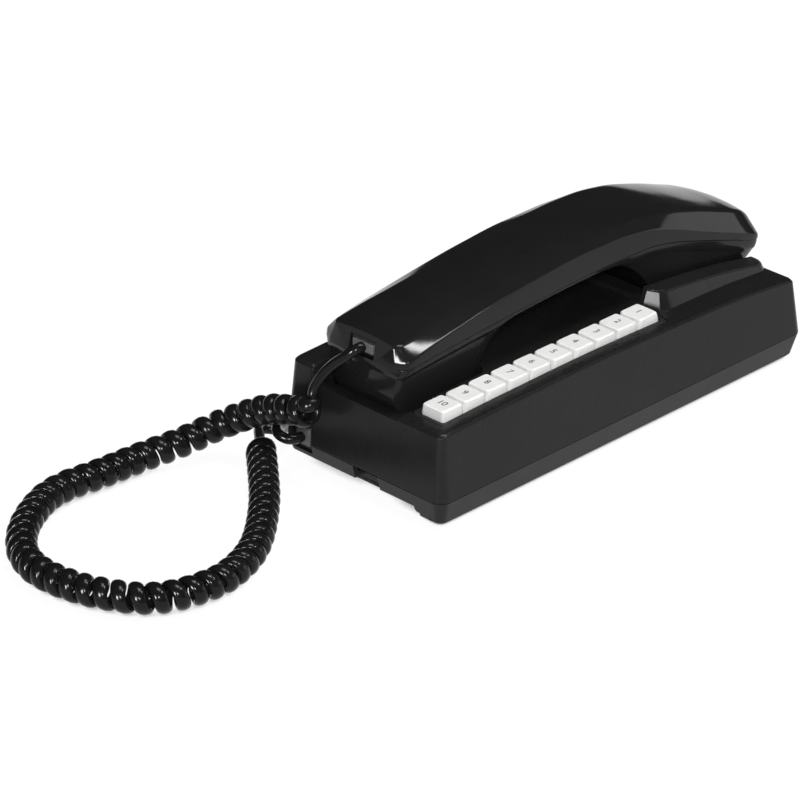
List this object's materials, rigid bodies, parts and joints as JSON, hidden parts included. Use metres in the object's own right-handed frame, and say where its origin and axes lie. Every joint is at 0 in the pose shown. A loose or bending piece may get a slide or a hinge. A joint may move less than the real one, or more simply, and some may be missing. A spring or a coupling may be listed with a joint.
{
  "type": "intercom wall telephone",
  "caption": "compact push-button intercom telephone with a cradled handset, a moulded cover on a shallow tray and a curly handset cord",
  "frame": {"origin": "under the middle of the telephone without its cord, in the plane its rubber feet rest on", "axes": "+Z away from the wall side, +Y towards the earpiece end, +X towards the row of buttons"},
  "size_m": [0.1294, 0.3636, 0.0783],
  "materials": {
    "tray": "black moulded plastic, satin gloss",
    "cover": "black moulded plastic, soft gloss with a fine grain",
    "handset": "black moulded plastic, soft gloss",
    "feet": "black rubber, matte",
    "screws": "zinc plated",
    "gasket": "foam rubber, matte",
    "buttons": "white plastic, soft gloss",
    "bezel": "dark grey plastic, matte",
    "dark_mouldings": "black plastic, matte",
    "capsules": "satin",
    "boards": "green laminate",
    "sockets": "black plastic, satin",
    "plugs": "smoky clear plastic",
    "cord": "black vinyl, glossy"
  },
  "bodies": {
    "body": {"base_tray": "tray", "top_cover": "cover", "rubber_foot_1": "feet", "rubber_foot_2": "feet", "rubber_foot_3": "feet", "rubber_foot_4": "feet", "cover_screw_1": "screws", "cover_screw_2": "screws", "cover_screw_3": "screws", "cover_screw_4": "screws", "button_bezel": "bezel", "switch_bank": "dark_mouldings", "button_board": "boards", "circuit_board": "boards", "call_buzzer": "dark_mouldings", "terminal_block": "dark_mouldings", "hook_switch": "dark_mouldings", "cord_jack": "sockets", "body_plug": "plugs", "cord_body_lead": "cord", "cord_coil": "cord"},
    "handset": {"handset_back_shell": "handset", "handset_front_shell": "handset", "receiver_capsule": "capsules", "receiver_gasket": "gasket", "microphone_capsule": "capsules", "handset_jack": "sockets", "handset_plug": "plugs", "cord_handset_lead": "cord"},
    "hook": {"hook_plunger": "dark_mouldings"},
    "key_1": {"push_button_1": "buttons"},
    "key_2": {"push_button_2": "buttons"},
    "key_3": {"push_button_3": "buttons"},
    "key_4": {"push_button_4": "buttons"},
    "key_5": {"push_button_5": "buttons"},
    "key_6": {"push_button_6": "buttons"},
    "key_7": {"push_button_7": "buttons"},
    "key_8": {"push_button_8": "buttons"},
    "key_9": {"push_button_9": "buttons"},
    "key_10": {"push_button_10": "buttons"}
  },
  "joints": [
    {"name": "handset_lift", "type": "slide", "parent": "body", "child": "handset", "axis": [0, 0, 1], "range_m": [0, 0.08]},
    {"name": "hook_rise", "type": "slide", "parent": "body", "child": "hook", "axis": [0, 0, 1], "range_m": [0, 0.004]},
    {"name": "key_1_press", "type": "slide", "parent": "body", "child": "key_1", "axis": [0, 0, -1], "range_m": [0, 0.0025], "stiffness_N_per_m": 300, "springref_m": -0.001},
    {"name": "key_2_press", "type": "slide", "parent": "body", "child": "key_2", "axis": [0, 0, -1], "range_m": [0, 0.0025], "stiffness_N_per_m": 300, "springref_m": -0.001},
    {"name": "key_3_press", "type": "slide", "parent": "body", "child": "key_3", "axis": [0, 0, -1], "range_m": [0, 0.0025], "stiffness_N_per_m": 300, "springref_m": -0.001},
    {"name": "key_4_press", "type": "slide", "parent": "body", "child": "key_4", "axis": [0, 0, -1], "range_m": [0, 0.0025], "stiffness_N_per_m": 300, "springref_m": -0.001},
    {"name": "key_5_press", "type": "slide", "parent": "body", "child": "key_5", "axis": [0, 0, -1], "range_m": [0, 0.0025], "stiffness_N_per_m": 300, "springref_m": -0.001},
    {"name": "key_6_press", "type": "slide", "parent": "body", "child": "key_6", "axis": [0, 0, -1], "range_m": [0, 0.0025], "stiffness_N_per_m": 300, "springref_m": -0.001},
    {"name": "key_7_press", "type": "slide", "parent": "body", "child": "key_7", "axis": [0, 0, -1], "range_m": [0, 0.0025], "stiffness_N_per_m": 300, "springref_m": -0.001},
    {"name": "key_8_press", "type": "slide", "parent": "body", "child": "key_8", "axis": [0, 0, -1], "range_m": [0, 0.0025], "stiffness_N_per_m": 300, "springref_m": -0.001},
    {"name": "key_9_press", "type": "slide", "parent": "body", "child": "key_9", "axis": [0, 0, -1], "range_m": [0, 0.0025], "stiffness_N_per_m": 300, "springref_m": -0.001},
    {"name": "key_10_press", "type": "slide", "parent": "body", "child": "key_10", "axis": [0, 0, -1], "range_m": [0, 0.0025], "stiffness_N_per_m": 300, "springref_m": -0.001}
  ],
  "couplings": [
    {"joint": "hook_rise", "follows": "handset_lift", "ratio": 0.05}
  ]
}
